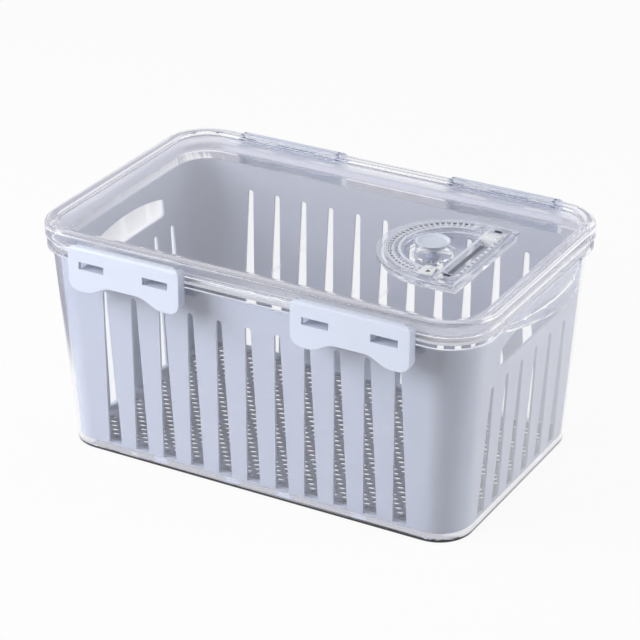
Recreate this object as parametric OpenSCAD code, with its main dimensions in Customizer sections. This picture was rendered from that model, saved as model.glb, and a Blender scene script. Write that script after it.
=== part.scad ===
// Produce keeper: a clear fridge box with a slotted drain basket, a clear lid
// with a date dial and a vent knob, and four snap latches. Millimetres.
// The origin is the centre of the box's base, +Z is up, the front is -Y.

/* [Lid] */
// Length of the lid over its rim
lid_l = 300; // [280:1:320]
// Width of the lid over its rim
lid_w = 190; // [180:1:205]
// Corner radius of the lid, outside
lid_r = 30; // [26:1:34]
// Height of the lid's rim
lid_rim_h = 9; // [8:0.5:11]
// Width of the rim's top face
lid_rim_w = 8.7; // [7.7:0.1:9.2]
// Wall thickness of the lid
lid_t = 2; // [1.6:0.1:2.2]
// Depth of the panel below the rim's top
panel_drop = 2.5; // [2:0.1:3]
// Depth that the plug wall reaches below the rim of the bin
plug_depth = 4.9; // [4.4:0.1:5]

/* [Bin] */
// Length of the bin's base
bin_base_l = 273; // [266:1:275]
// Width of the bin's base
bin_base_w = 168; // [163:1:170]
// Corner radius of the bin's base
bin_base_r = 22; // [19:1:24]
// Radius of the rounding along the bin's bottom edge
bin_foot_r = 1.8; // [0.8:0.2:2.4]
// Height of the bin to the top of its rim
bin_h = 140.2; // [138:0.1:160]
// Wall thickness of the bin
bin_wall = 2; // [1.6:0.1:2.2]
// Thickness of the bin's floor
bin_floor = 2.5; // [2:0.1:3]
// Height of the bin's rim band
band_h = 7.5; // [7:0.1:8]
// Thickness of the bin's rim band
band_t = 2.3; // [2:0.1:2.4]
// Thickness of the shelf under the rim band
shelf_t = 2.2; // [1.8:0.1:2.4]
// How far the rim band stands out past the wall
flange_reach = 3.2; // [2.8:0.1:3.6]

/* [Grip ledges] */
// How far each half-moon ledge stands out past the rim band
grip_reach = 10.4; // [8:0.1:13]
// Radius of the ledge's edge at the top
grip_r = 153; // [145:1:165]
// Thickness of the ledge
grip_t = 2; // [1.6:0.1:2.2]
// Height of the ledge's down-turned lip
grip_lip_h = 5.2; // [4:0.2:6]
// How far the lip flares out at its foot
grip_flare = 3.4; // [1:0.2:4]
// Radius of the lip's foot
grip_foot_r = 94; // [90:1:100]

/* [Drain basket] */
// Gap between the basket and the bin's wall at the base
basket_gap = 0.9; // [0.6:0.1:1.2]
// Height of the basket's wall
basket_h = 124; // [115:1:124]
// Wall thickness of the basket
basket_wall = 1.5; // [1.3:0.1:2.2]
// Thickness of the basket's floor
basket_floor = 1.6; // [1.4:0.1:2.2]
// Height of the basket's feet
foot_h = 3; // [2:0.5:5]
// Number of slots in each long side
long_slots = 11; // [7:2:11]
// Number of slots in each end
end_slots = 6; // [4:2:6]
// Distance from one slot to the next
slot_pitch = 19.8; // [18:0.2:20]
// Width of a slot at its foot
slot_foot_w = 9.2; // [6:0.2:10]
// Width of a slot at its rounded top
slot_top_w = 3.8; // [2.8:0.2:5]
// Height of the long sides' slots above the basket's floor
long_slot_h = 106; // [90:1:106]
// Height of the end slots above the basket's floor
end_slot_h = 86; // [70:1:86]
// Width of the hand hole in each end
hand_w = 84; // [60:1:84]
// Height of the hand hole at its crown
hand_h = 17.5; // [16:0.5:19]
// Distance from the basket's rim down to the hand hole's crown
hand_drop = 9.5; // [6:0.5:10]
// Radius of the hand hole's crown
hand_crown_r = 155; // [110:1:160]

/* [Latches] */
// Length of a latch
latch_l = 77; // [70:1:80]
// Distance from the middle of the box to a latch's middle
latch_x = 75.8; // [72:0.1:80]
// Wall thickness of a latch
latch_t = 2.2; // [1.8:0.1:2.4]
// Height of a latch at its two lobes
latch_h = 29; // [27:0.5:33]
// How much higher the waist sits than the lobes
latch_waist = 6; // [3:0.5:8]
// Half the length of the waist
waist_half = 9.7; // [7:0.1:12]
// Distance from a latch's middle to where its lobes are full
lobe_start = 26; // [24:0.5:28]
// Distance from a latch's middle to the middle of a window
window_x = 22.2; // [19:0.1:23]
// Length of a window
window_l = 17.4; // [12:0.2:18]
// Height of a window
window_h = 4.7; // [4:0.1:5.5]
// Height of a window's sill above the catch
window_sill = 0.5; // [0:0.1:0.8]
// Depth of the catch under the bin's rim band
catch_hold = 1.6; // [1:0.1:1.8]
// Radius of the hinge rod on the lid
rod_r = 1.3; // [1:0.05:1.4]
// Radius of the latch's hinge barrel
barrel_r = 3.4; // [3.2:0.05:3.6]
// Thickness of each lug that holds the rod
lug_t = 2; // [1.6:0.1:3]

/* [Date dial] */
// Distance from the middle of the lid to the centre of the dial's arc
dial_x = 88.5; // [80:0.5:92]
// Radius of the dial over its ring
dial_r = 39.5; // [38:0.5:42]
// Inner radius of the dial's ring
dial_inner_r = 29.7; // [29:0.1:30.5]
// Distance from the arc's centre to the far face of the months track
dial_tail = 21; // [20.5:0.1:24]
// Height of the dial above the lid's panel
dial_rise = 1.8; // [1.6:0.1:2]
// Width of the dial's flange on the panel
dial_flange = 5.2; // [3:0.1:6]
// Depth of the well that the dial sits in
well_depth = 4.5; // [4.3:0.1:5]
// Width of the channel that the month slider runs in
track_w = 8.8; // [8:0.1:9.4]
// Where the month slider stands along its track
month_y = 23.5; // [-28:0.5:28]

/* [Vent] */
// Distance from the middle of the lid to the vent knob
vent_x = 76.5; // [75:0.5:77]
// Radius of the vent knob's head
vent_head_r = 10.5; // [9:0.1:11]
// Radius of the vent knob's stem
vent_stem_r = 3; // [2.5:0.1:3.5]
// Radius of the shallow pan round the vent
vent_pan_r = 15.8; // [14.5:0.1:16]
// How far the knob pulls up
vent_lift = 3; // [2:0.5:4]

/* [Fits] */
// Gap between the bin's rim and the lid's skirt
seat_gap = 0.3; // [0.2:0.05:0.4]
// Running clearance of the latch on its rod, on the radius
rod_play = 0.08; // [0.05:0.01:0.1]
// Clearance beside a moving piece
side_gap = 0.3; // [0.25:0.05:0.4]
// Clearance of a slider in its slot
slide_gap = 0.15; // [0.1:0.05:0.2]
// Gap between the catch and the rim band
catch_gap = 0.4; // [0.3:0.05:0.5]

/* [Hidden] */
$fn = 64;
clear_colour = [0.86, 0.89, 0.93, 0.45];
basket_colour = [0.78, 0.81, 0.88];
latch_colour = [0.86, 0.89, 0.95];
white_colour = [0.95, 0.95, 0.96];
seal_colour = [0.80, 0.82, 0.86];
grip = 0.5;

// The rectangle through the lid's corner centres, shared by all that follows the rim
core_l = lid_l - 2 * lid_r;
core_w = lid_w - 2 * lid_r;

// Heights of the rim and the lid
lid_z = bin_h + seat_gap;
lid_top = lid_z + lid_rim_h;
panel_top = lid_top - panel_drop;
panel_z = panel_top - lid_t;
flange_z = bin_h - band_h;
shelf_top = flange_z + shelf_t;

// Rim faces, measured out from the core rectangle
skirt_over = 1;
band_out = lid_r - skirt_over;
band_in = band_out - band_t;
wall_out = band_out - flange_reach;
plug_in = lid_r - lid_rim_w;
plug_out = plug_in + lid_t;

// Two slabs joined make a drafted box
slab = 0.01;

module rounded_rect(l, w, r) {
    square([l - 2 * r, w], center = true);
    square([l, w - 2 * r], center = true);
    for (sx = [-1, 1], sy = [-1, 1]) {
        translate([sx * (l / 2 - r), sy * (w / 2 - r)]) circle(r);
    }
}

// A solid whose rounded rectangle grows from one size above its rounded foot, at z1, to another at z2
module drafted_box(l1, w1, r1, z1, l2, w2, r2, z2, foot_r = 0) {
    hull() {
        for (a = foot_r > 0 ? [0, 30, 60, 90] : [90]) {
            inset = foot_r * (1 - sin(a));
            translate([0, 0, z1 + foot_r * (1 - cos(a))]) linear_extrude(slab)
                rounded_rect(l1 - 2 * inset, w1 - 2 * inset, r1 - inset, $fn = 48);
        }
        translate([0, 0, z2 - slab]) linear_extrude(slab) rounded_rect(l2, w2, r2, $fn = 48);
    }
}

// A profile drawn as distance from the core rectangle and height, swept round the rim
module rim_sweep() {
    for (side = [0, 1, 2, 3]) {
        along_x = side % 2 == 1;
        rotate([0, 0, 90 * side])
            translate([(along_x ? core_w : core_l) / 2, 0, 0])
                rotate([90, 0, 0])
                    linear_extrude(along_x ? core_l : core_w, center = true) children();
    }
    for (side = [0, 1, 2, 3]) {
        sx = side == 0 || side == 3 ? 1 : -1;
        sy = side < 2 ? 1 : -1;
        translate([sx * core_l / 2, sy * core_w / 2, 0])
            rotate([0, 0, 90 * side]) rotate_extrude(angle = 90) children();
    }
}

// A rectangle given by two opposite corners
module box2(x1, y1, x2, y2) {
    translate([x1, y1]) square([x2 - x1, y2 - y1]);
}

// A section drawn as distance from the middle line and height, run along X
module along_x(length) {
    rotate([90, 0, 90]) linear_extrude(length, center = true) children();
}

// An elevation drawn as X and height, run back from the plane y = face
module back_from(face, depth) {
    translate([0, face, 0]) rotate([90, 0, 0]) linear_extrude(depth) children();
}

// Bin

bin_top_l = core_l + 2 * wall_out;
bin_top_w = core_w + 2 * wall_out;

// Length, width and corner radius of the bin's outside at a height
function bin_grow(z) = (z - bin_foot_r) / (shelf_top - bin_foot_r);
function bin_l_at(z) = bin_base_l + (bin_top_l - bin_base_l) * bin_grow(z);
function bin_w_at(z) = bin_base_w + (bin_top_w - bin_base_w) * bin_grow(z);
function bin_r_at(z) = bin_base_r + (wall_out - bin_base_r) * bin_grow(z);

module bin_rim_profile() {
    box2(wall_out - bin_wall / 2, flange_z, band_out, shelf_top);
    box2(band_in, flange_z, band_out, bin_h);
}

// A half disc of radius r whose crown reaches x, cut off inside the rim band
module half_moon(r, x, z) {
    root_x = core_l / 2 + band_out - band_t / 2;
    translate([0, 0, z]) linear_extrude(slab) intersection() {
        translate([x - r, 0]) circle(r, $fn = 240);
        translate([root_x, -r]) square([r, 2 * r]);
    }
}

// A half-moon plate at one end with a flared lip turned down along its arc
module grip_ledge() {
    over_shelf = 0.2;
    top_z = shelf_top + over_shelf;
    reach_x = core_l / 2 + band_out + grip_reach;
    difference() {
        hull() {
            half_moon(grip_r, reach_x, top_z - slab);
            half_moon(grip_foot_r, reach_x + grip_flare, top_z - grip_lip_h);
        }
        hull() {
            half_moon(grip_r - grip_t, reach_x - grip_t, top_z - grip_t);
            half_moon(grip_foot_r - grip_t, reach_x + grip_flare - grip_t, top_z - grip_lip_h - slab);
        }
    }
}

module bin() {
    color(clear_colour) {
        difference() {
            drafted_box(bin_base_l, bin_base_w, bin_base_r, 0,
                        bin_top_l, bin_top_w, wall_out, shelf_top, bin_foot_r);
            drafted_box(bin_l_at(bin_floor) - 2 * bin_wall, bin_w_at(bin_floor) - 2 * bin_wall,
                        bin_r_at(bin_floor) - bin_wall, bin_floor,
                        bin_top_l - 2 * bin_wall, bin_top_w - 2 * bin_wall,
                        wall_out - bin_wall, shelf_top + slab);
        }
        rim_sweep() bin_rim_profile();
        grip_ledge();
        mirror([1, 0, 0]) grip_ledge();
    }
}

// Drain basket

basket_z = bin_floor + foot_h;
basket_floor_top = basket_z + basket_floor;
basket_top = basket_z + basket_h;
basket_inset = 2 * (bin_wall + basket_gap);
basket_l1 = bin_l_at(basket_z) - basket_inset;
basket_w1 = bin_w_at(basket_z) - basket_inset;
basket_r1 = bin_r_at(basket_z) - basket_inset / 2;
basket_lean = 1.4;
basket_foot_r = 0.8;
basket_l2 = bin_l_at(basket_top) - basket_inset - basket_lean;
basket_w2 = bin_w_at(basket_top) - basket_inset - basket_lean;
basket_r2 = bin_r_at(basket_top) - basket_inset / 2;

// A tall slot, narrow and rounded at the top, standing on the basket's floor
module slot_outline(h) {
    top_r = slot_top_w / 2;
    translate([0, basket_floor_top]) {
        polygon([[-slot_foot_w / 2, 0], [slot_foot_w / 2, 0], [top_r, h - top_r], [-top_r, h - top_r]]);
        translate([0, h - top_r]) circle(top_r, $fn = 24);
    }
}

module hand_hole_outline() {
    corner_r = 3.5;
    crown = basket_top - hand_drop;
    intersection() {
        translate([0, crown - hand_h / 2]) rounded_rect(hand_w, hand_h, corner_r);
        translate([0, crown - hand_crown_r]) circle(hand_crown_r, $fn = 180);
    }
}

// Short slots through the floor, every other row shifted by half a pitch
drain_cols = 12;
drain_rows = 9;
drain_l = 9;
drain_w = 2.2;
drain_margin = 14;
drain_pitch_x = (basket_l1 - 2 * drain_margin) / drain_cols;
drain_pitch_y = (basket_w1 - 2 * drain_margin) / drain_rows;

module drain_slots() {
    for (row = [0 : drain_rows - 1], col = [0 : drain_cols - 1 - row % 2]) {
        translate([(col - (drain_cols - 1 - row % 2) / 2) * drain_pitch_x,
                   (row - (drain_rows - 1) / 2) * drain_pitch_y]) {
            square([drain_l - drain_w, drain_w], center = true);
            for (s = [-1, 1]) {
                translate([s * (drain_l - drain_w) / 2, 0]) circle(drain_w / 2, $fn = 16);
            }
        }
    }
}

// Small blocks that the basket stands on, two along each half of a long side and one on each half end
module basket_feet() {
    foot_l = 9;
    foot_w = 4;
    foot_in = 4;
    for (sx = [-1, 1], sy = [-1, 1]) {
        for (x = [18, 69]) {
            translate([sx * x, sy * (basket_w1 / 2 - foot_in - foot_w / 2), bin_floor + foot_h / 2])
                cube([foot_l, foot_w, foot_h + grip], center = true);
        }
        translate([sx * (basket_l1 / 2 - foot_in - foot_w / 2), sy * basket_w1 / 4, bin_floor + foot_h / 2])
            cube([foot_w, foot_l, foot_h + grip], center = true);
    }
}

module drain_basket() {
    past = lid_l;
    color(basket_colour) {
        difference() {
            drafted_box(basket_l1, basket_w1, basket_r1, basket_z,
                        basket_l2, basket_w2, basket_r2, basket_top, basket_foot_r);
            drafted_box(basket_l1 - 2 * basket_wall, basket_w1 - 2 * basket_wall,
                        basket_r1 - basket_wall, basket_floor_top,
                        basket_l2 - 2 * basket_wall, basket_w2 - 2 * basket_wall,
                        basket_r2 - basket_wall, basket_top + slab);
            for (i = [0 : long_slots - 1]) {
                translate([(i - (long_slots - 1) / 2) * slot_pitch, 0, 0])
                    back_from(past / 2, past) slot_outline(long_slot_h);
            }
            for (i = [0 : end_slots - 1]) {
                translate([0, (i - (end_slots - 1) / 2) * slot_pitch, 0])
                    along_x(2 * past) slot_outline(end_slot_h);
            }
            along_x(2 * past) hand_hole_outline();
            translate([0, 0, basket_z - 1]) linear_extrude(basket_floor + 2) drain_slots();
        }
        difference() {
            basket_feet();
            translate([-past, -past, bin_floor - grip]) cube([2 * past, 2 * past, grip]);
        }
    }
}

// Latch hinge

rod_stand_off = 0.8;
rod_rise = 3.1;
skirt_y = core_w / 2 + lid_r;
rod_y = skirt_y + rod_stand_off + barrel_r;
rod_z = lid_z + rod_rise;
latch_top = rod_z + barrel_r;
latch_face = rod_y + barrel_r;
latch_low = latch_top - latch_h;
end_wall = 2.2;
lug_x = latch_l / 2 - end_wall - side_gap - lug_t / 2;
lug_wall = 0.7;
lug_r = rod_r + lug_wall;

// The arm of a lug slopes down from the rod to the lid's skirt, clear of the latch's top
arm_angle = 210;
arm_half = 1;

module rod_and_lugs() {
    arm_l = (skirt_y - grip - rod_y) / cos(arm_angle);
    for (s = [-1, 1]) {
        translate([s * lug_x, 0, 0]) along_x(lug_t) translate([rod_y, rod_z]) {
            circle(lug_r, $fn = 48);
            rotate(arm_angle) box2(0, -arm_half, arm_l, arm_half);
        }
    }
    along_x(2 * lug_x) translate([rod_y, rod_z]) circle(rod_r, $fn = 48);
}

// Lid

module lid_rim_profile() {
    outer_round = 3;
    inner_round = 2;
    difference() {
        union() {
            box2(plug_in, lid_z, lid_r, lid_top - outer_round);
            box2(plug_in, lid_z, lid_r - outer_round, lid_top - inner_round);
            box2(plug_in + inner_round, lid_z, lid_r - outer_round, lid_top);
            translate([lid_r - outer_round, lid_top - outer_round]) circle(outer_round, $fn = 48);
            translate([plug_in + inner_round, lid_top - inner_round]) circle(inner_round, $fn = 48);
        }
        box2(plug_out, lid_z - 1, lid_r - lid_t, lid_top - lid_t);
    }
    box2(plug_in, bin_h - plug_depth, plug_out, lid_z + grip);
    for (z = [bin_h - plug_depth, bin_h - gasket_rib]) {
        box2(plug_out - grip, z, plug_out + rib_reach, z + gasket_rib);
    }
}

// A straight-backed D: half a disc with its flat side run on to x_end
module d_shape(r, x_end) {
    translate([dial_x, 0]) intersection() {
        union() {
            circle(r, $fn = 128);
            translate([0, -r]) square([r, 2 * r]);
        }
        translate([-2 * r, -2 * r]) square([2 * r + x_end, 4 * r]);
    }
}

well_z = panel_top - well_depth;
well_gap = 0.3;
boss_drop = 0.2;
boss_top = panel_top - boss_drop;
boss_r = 7.5;
boss_foot_r = 12.5;
boss_roof = 1.4;
pan_depth = 0.6;
panel_in = plug_in + grip;

module lid() {
    color(clear_colour) {
        rim_sweep() lid_rim_profile();
        difference() {
            union() {
                translate([0, 0, panel_z]) linear_extrude(lid_t)
                    rounded_rect(core_l + 2 * panel_in, core_w + 2 * panel_in, panel_in);
                translate([0, 0, well_z - lid_t]) linear_extrude(well_depth + lid_t)
                    d_shape(dial_r + well_gap + lid_t, dial_tail + well_gap + lid_t);
            }
            translate([0, 0, well_z]) linear_extrude(well_depth + 1)
                d_shape(dial_r + well_gap, dial_tail + well_gap);
            translate([vent_x, 0, well_z - pan_depth]) cylinder(h = lid_t, r = vent_pan_r);
            translate([vent_x, 0, well_z - lid_t - 1]) cylinder(h = lid_t + 2, r = boss_foot_r - lid_t);
        }
        translate([vent_x, 0, 0]) vent_boss();
        for (sx = [-1, 1], back = [0, 1]) {
            translate([sx * latch_x, 0, 0]) mirror([0, back, 0]) rod_and_lugs();
        }
    }
}

// A hollow cone that the vent knob's stem passes through
module vent_boss() {
    foot_z = well_z - lid_t;
    rotate_extrude() {
        difference() {
            polygon([[0, foot_z], [boss_foot_r, foot_z], [boss_foot_r, well_z],
                     [boss_r, boss_top], [0, boss_top]]);
            polygon([[0, foot_z - 1], [boss_foot_r - lid_t, foot_z - 1], [boss_foot_r - lid_t, well_z],
                     [boss_r - boss_roof, boss_top - boss_roof], [0, boss_top - boss_roof]]);
            box2(0, foot_z, vent_stem_r + slide_gap, boss_top + 1);
        }
    }
}

// Lid gasket, between the two ribs of the plug wall

gasket_rib = 0.6;
rib_reach = 1.3;
lip_gap = 0.2;

module lid_gasket() {
    gasket_z = bin_h - plug_depth + gasket_rib;
    gasket_top = bin_h - gasket_rib;
    body = plug_out + 2;
    color(seal_colour) rim_sweep()
        polygon([[plug_out, gasket_z], [body, gasket_z], [band_in - lip_gap, (gasket_z + gasket_top) / 2],
                 [body, gasket_top], [plug_out, gasket_top]]);
}

// Latches

// Height of the latch's lower edge, low at the lobes and high at the waist
function blend(t) = t * t * (3 - 2 * t);
function lobe_part(x) = min(1, max(0, (abs(x) - waist_half) / (lobe_start - waist_half)));
function lower_edge(x) = latch_low + latch_waist * (1 - blend(lobe_part(x)));
function arc(cx, cy, r, from, to) =
    [for (i = [0 : 6]) let (a = from + (to - from) * i / 6) [cx + r * cos(a), cy + r * sin(a)]];

module latch_outline() {
    top_r = 3.5;
    low_r = 7;
    side = latch_l / 2;
    steps = 28;
    run = side - low_r;
    polygon(concat(
        [for (i = [1 : steps - 1]) let (x = -run + 2 * run * i / steps) [x, lower_edge(x)]],
        arc(side - low_r, latch_low + low_r, low_r, -90, 0),
        arc(side - top_r, latch_top - top_r, top_r, 0, 90),
        arc(-side + top_r, latch_top - top_r, top_r, 90, 180),
        arc(-side + low_r, latch_low + low_r, low_r, 180, 270)));
}

// Face plate, top and hinge barrel, seen from the end of the latch
module latch_section() {
    shoulder_r = 2.6;
    translate([rod_y, rod_z]) circle(barrel_r);
    translate([latch_face - shoulder_r, latch_top - shoulder_r]) circle(shoulder_r);
    box2(rod_y, rod_z, latch_face, latch_top - shoulder_r);
    box2(rod_y, rod_z, latch_face - shoulder_r, latch_top);
    box2(latch_face - latch_t, latch_low - 1, latch_face, rod_z + slab);
}

module latch_end_section() {
    end_gap = 1.1;
    latch_section();
    box2(skirt_y + end_gap, latch_low - 1, latch_face, rod_z);
}

// The catch reaches in under the rim band, with a sloped underside
catch_top = flange_z - catch_gap;
catch_tip = core_w / 2 + band_out - catch_hold;

module catch_section() {
    root = latch_face - latch_t / 2;
    ease = 0.4;
    nose = 1.3;
    slope = 3.4;
    polygon([[root, catch_top], [catch_tip + ease, catch_top], [catch_tip, catch_top - ease],
             [catch_tip, catch_top - nose], [root, catch_top - nose - slope]]);
}

// Room for a lug and its arm while the latch swings open
open_angle = 110;

module lug_room() {
    room = arm_half + side_gap;
    past = barrel_r + 2;
    translate([rod_y, rod_z]) {
        circle(lug_r + side_gap, $fn = 48);
        for (a = [arm_angle - open_angle, arm_angle]) {
            rotate(a) box2(0, -room, past, room);
        }
        polygon(concat([[0, 0]], arc(0, 0, past, arm_angle - open_angle, arm_angle)));
    }
}

module latch() {
    depth = latch_face - core_w / 2 - wall_out;
    snap = 0.4;
    mouth = 2 * rod_r - snap;
    color(latch_colour) difference() {
        intersection() {
            back_from(latch_face, depth) latch_outline();
            union() {
                along_x(latch_l) latch_section();
                for (s = [-1, 1]) {
                    translate([s * (latch_l - end_wall) / 2, 0, 0]) along_x(end_wall) latch_end_section();
                    translate([s * window_x, 0, 0]) along_x(window_l) catch_section();
                }
            }
        }
        for (s = [-1, 1]) {
            translate([s * window_x, 0, catch_top + window_sill + window_h / 2])
                translate([0, latch_face, 0]) cube([window_l, 3 * latch_t, window_h], center = true);
            translate([s * lug_x, 0, 0]) along_x(lug_t + 2 * side_gap) lug_room();
        }
        along_x(2 * lug_x) translate([rod_y, rod_z]) {
            circle(rod_r + rod_play, $fn = 48);
            rotate(-135) box2(0, -mouth / 2, barrel_r + 1, mouth / 2);
        }
    }
}

module place_latch(sx, sy) {
    translate([sx * latch_x, 0, 0]) mirror([0, sy < 0 ? 1 : 0, 0]) latch();
}

module latch_front_left() {
    place_latch(-1, -1);
}

module latch_front_right() {
    place_latch(1, -1);
}

module latch_back_left() {
    place_latch(-1, 1);
}

module latch_back_right() {
    place_latch(1, 1);
}

// Date dial

dial_top = panel_top + dial_rise;
deck_drop = 0.4;
deck_z = dial_top - deck_drop;
ring_edge = 0.8;
ring_web = 2;
rail_t = 1.4;
slot_in = 2.8;
slot_r = dial_inner_r + slot_in;
slot_depth = 1;
slot_z = panel_top - slot_depth;
slot_half = 0.7;
wing_half = 1.5;
wing_h = 1.2;
wing_play = 0.1;
ring_past = 7;
outer_rail = 2.6;
inner_rail = 2.2;
track_end = 8;
track_x = dial_x + dial_tail - outer_rail - track_w / 2;
track_side = track_w / 2;
track_inner_x = track_x - track_side - inner_rail;
track_half = dial_r - track_end;
track_z = panel_top - ring_web;
groove_in = 1;
groove_low = 0.4;
groove_high = 1.8;
flange_t = 0.8;

// The ring's slot, wide below and narrow at the top
module day_slot_section(gap) {
    play = gap > 0 ? wing_play : 0;
    box2(slot_r - wing_half + gap, slot_z + play, slot_r + wing_half - gap, slot_z + wing_h - play);
    box2(slot_r - slot_half + gap, slot_z + grip, slot_r + slot_half - gap, dial_top + 1);
}

// The months channel with a groove along the foot of each side
module month_slot_section(gap) {
    wing = track_side + groove_in - gap;
    box2(track_x - track_side + gap, track_z + gap, track_x + track_side - gap, dial_top + 1);
    box2(track_x - wing, track_z + groove_low + gap, track_x + wing, track_z + groove_high - gap);
}

module dial_frame() {
    inner_x = track_inner_x - dial_x;
    color(clear_colour) difference() {
        union() {
            translate([0, 0, well_z]) linear_extrude(dial_top - well_z) d_shape(dial_r, dial_tail);
            translate([0, 0, panel_top]) linear_extrude(flange_t)
                d_shape(dial_r + dial_flange, dial_tail + dial_flange / 2);
        }
        translate([0, 0, well_z - 1]) linear_extrude(dial_top) d_shape(dial_inner_r, inner_x);
        translate([0, 0, deck_z]) linear_extrude(1) difference() {
            d_shape(dial_r - ring_edge, inner_x - 1);
            d_shape(slot_r - slot_half, inner_x);
        }
        translate([0, 0, well_z - 1]) linear_extrude(track_z - well_z + 1) difference() {
            d_shape(dial_r - rail_t, inner_x);
            d_shape(dial_inner_r + rail_t, inner_x + 1);
        }
        translate([dial_x, 0, 0]) rotate([0, 0, 90 - ring_past])
            rotate_extrude(angle = 180 + 2 * ring_past, $fn = 128) day_slot_section(0);
        rotate([90, 0, 0]) linear_extrude(2 * track_half, center = true) month_slot_section(0);
    }
}

// The two clips have a cap that stands just clear of the dial, with a rib for the finger
cap_gap = 0.15;
cap_t = 0.8;
cap_z = dial_top + cap_gap;
rib_h = 0.6;

// A clip that runs round the ring, at its near end
pointer_rest = -87;
pointer_angle = 14;
pointer_over = 0.7;

module ring_piece(angle) {
    translate([dial_x, 0, 0]) rotate([0, 0, pointer_rest - angle / 2])
        rotate_extrude(angle = angle, $fn = 128) children();
}

module day_pointer() {
    color(white_colour) {
        ring_piece(pointer_angle / 2) {
            intersection() {
                day_slot_section(slide_gap);
                box2(0, 0, dial_r, cap_z + cap_t / 2);
            }
        }
        ring_piece(pointer_angle)
            box2(dial_inner_r - pointer_over, cap_z, dial_r + pointer_over, cap_z + cap_t);
        ring_piece(pointer_angle / 4)
            box2(dial_inner_r, cap_z + cap_t / 2, slot_r + wing_half, cap_z + cap_t + rib_h);
    }
}

// A clip that runs along the months track
slider_l = 9;
slider_over = 1.4;

module month_slider() {
    wing = track_side + slider_over;
    color(white_colour) translate([0, month_y, 0]) rotate([90, 0, 0]) {
        linear_extrude(slider_l, center = true) {
            intersection() {
                month_slot_section(slide_gap);
                box2(0, 0, lid_l, cap_z + cap_t / 2);
            }
            box2(track_x - wing, cap_z, track_x + wing, cap_z + cap_t);
        }
        linear_extrude(slider_l / 4, center = true)
            box2(track_x - track_side, cap_z + cap_t / 2, track_x + track_side, cap_z + cap_t + rib_h);
    }
}

// Vent knob: a dished head on a stem, with a bulb that keeps it in the lid

head_rise = 2;
head_z = panel_top + head_rise;
head_t = 2.4;
seal_gap = 0.05;

module vent_plug() {
    bulb_top = boss_top - boss_roof - vent_lift - side_gap;
    bulb_h = 2.6;
    bulb_over = 1;
    bulb_taper = 0.6;
    head_top = head_z + head_t;
    under_in = 2;
    round_in = 0.3;
    side_h = 0.8;
    edge = 0.9;
    dish_in = 2.6;
    dish = 1.1;
    dish_mid = 1.4;
    bulb_r = vent_stem_r + bulb_over;
    bulb_z = bulb_top - bulb_h;
    color(seal_colour) translate([vent_x, 0, 0]) rotate_extrude() {
        polygon([[0, head_z], [vent_head_r - under_in, head_z], [vent_head_r - round_in, head_top - side_h],
                 [vent_head_r, head_top - round_in], [vent_head_r - round_in, head_top],
                 [vent_head_r - edge, head_top], [vent_head_r - dish_in, head_top - dish],
                 [0, head_top - dish_mid]]);
        polygon([[0, bulb_z], [vent_stem_r - bulb_taper, bulb_z], [bulb_r, bulb_top - bulb_taper],
                 [bulb_r, bulb_top], [vent_stem_r, bulb_top], [vent_stem_r, head_z + grip],
                 [0, head_z + grip]]);
    }
}

// Vent seal: the soft ring under the knob's head
module vent_seal() {
    seal_in = 0.9;
    seal_t = head_z - boss_top - seal_gap;
    color(seal_colour) translate([vent_x, 0, boss_top + seal_gap]) difference() {
        cylinder(h = seal_t, r = boss_r - seal_in);
        translate([0, 0, -1]) cylinder(h = seal_t + 2, r = vent_stem_r);
    }
}

bin();
drain_basket();
lid();
lid_gasket();
latch_front_left();
latch_front_right();
latch_back_left();
latch_back_right();
dial_frame();
day_pointer();
month_slider();
vent_plug();
vent_seal();
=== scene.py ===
# %% [markdown]
# # A produce keeper in clear and pale blue plastic
# This lesson dresses a fridge box: a clear bin, a slotted drain basket inside
# it, a clear lid with a date dial and a vent knob, and four snap latches.
# The solids come from a CAD model that is loaded as a fixed frame. We leave
# them as they are, give them good materials, and add what a CAD model is too
# coarse for, such as the fine holes in the basket's floor and the dial's
# numbers. Four solids are hidden behind copies that carry the finer shapes, and
# the dial's copy stands 0.05 mm higher, for a reason given there. Which plastics
# and rubbers the real box has can't be seen, so those named here are guesses.
# All lengths are in metres, the front of the box is at -Y.

# %% Load the frame
import math
import bmesh
import bpy
from mathutils import Matrix, Vector


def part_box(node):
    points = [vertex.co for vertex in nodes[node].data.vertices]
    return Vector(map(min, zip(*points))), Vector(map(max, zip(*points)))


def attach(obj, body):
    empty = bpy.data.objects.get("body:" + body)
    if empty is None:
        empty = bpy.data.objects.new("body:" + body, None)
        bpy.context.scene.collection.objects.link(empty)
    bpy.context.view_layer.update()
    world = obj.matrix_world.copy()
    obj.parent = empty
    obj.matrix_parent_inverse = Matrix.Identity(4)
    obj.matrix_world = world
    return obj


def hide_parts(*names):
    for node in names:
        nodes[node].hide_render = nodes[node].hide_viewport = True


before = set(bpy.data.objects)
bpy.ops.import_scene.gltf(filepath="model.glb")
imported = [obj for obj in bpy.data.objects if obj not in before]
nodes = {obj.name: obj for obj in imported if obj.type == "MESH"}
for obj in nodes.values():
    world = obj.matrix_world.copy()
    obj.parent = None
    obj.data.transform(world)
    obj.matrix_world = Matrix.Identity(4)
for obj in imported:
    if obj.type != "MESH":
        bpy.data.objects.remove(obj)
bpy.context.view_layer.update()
mm = 0.001

# %% [markdown]
# ## The camera
# The photograph looks down at the box from its front right, from far away with
# a long lens, so that parallel edges stay nearly parallel. We could move the
# camera by eye, but here its place was worked out from the corners of the lid
# and the bin in the photograph: an azimuth, an elevation and a distance from
# one point inside the box. A Track To constraint isn't needed, because a
# direction has a quaternion of its own.

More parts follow.
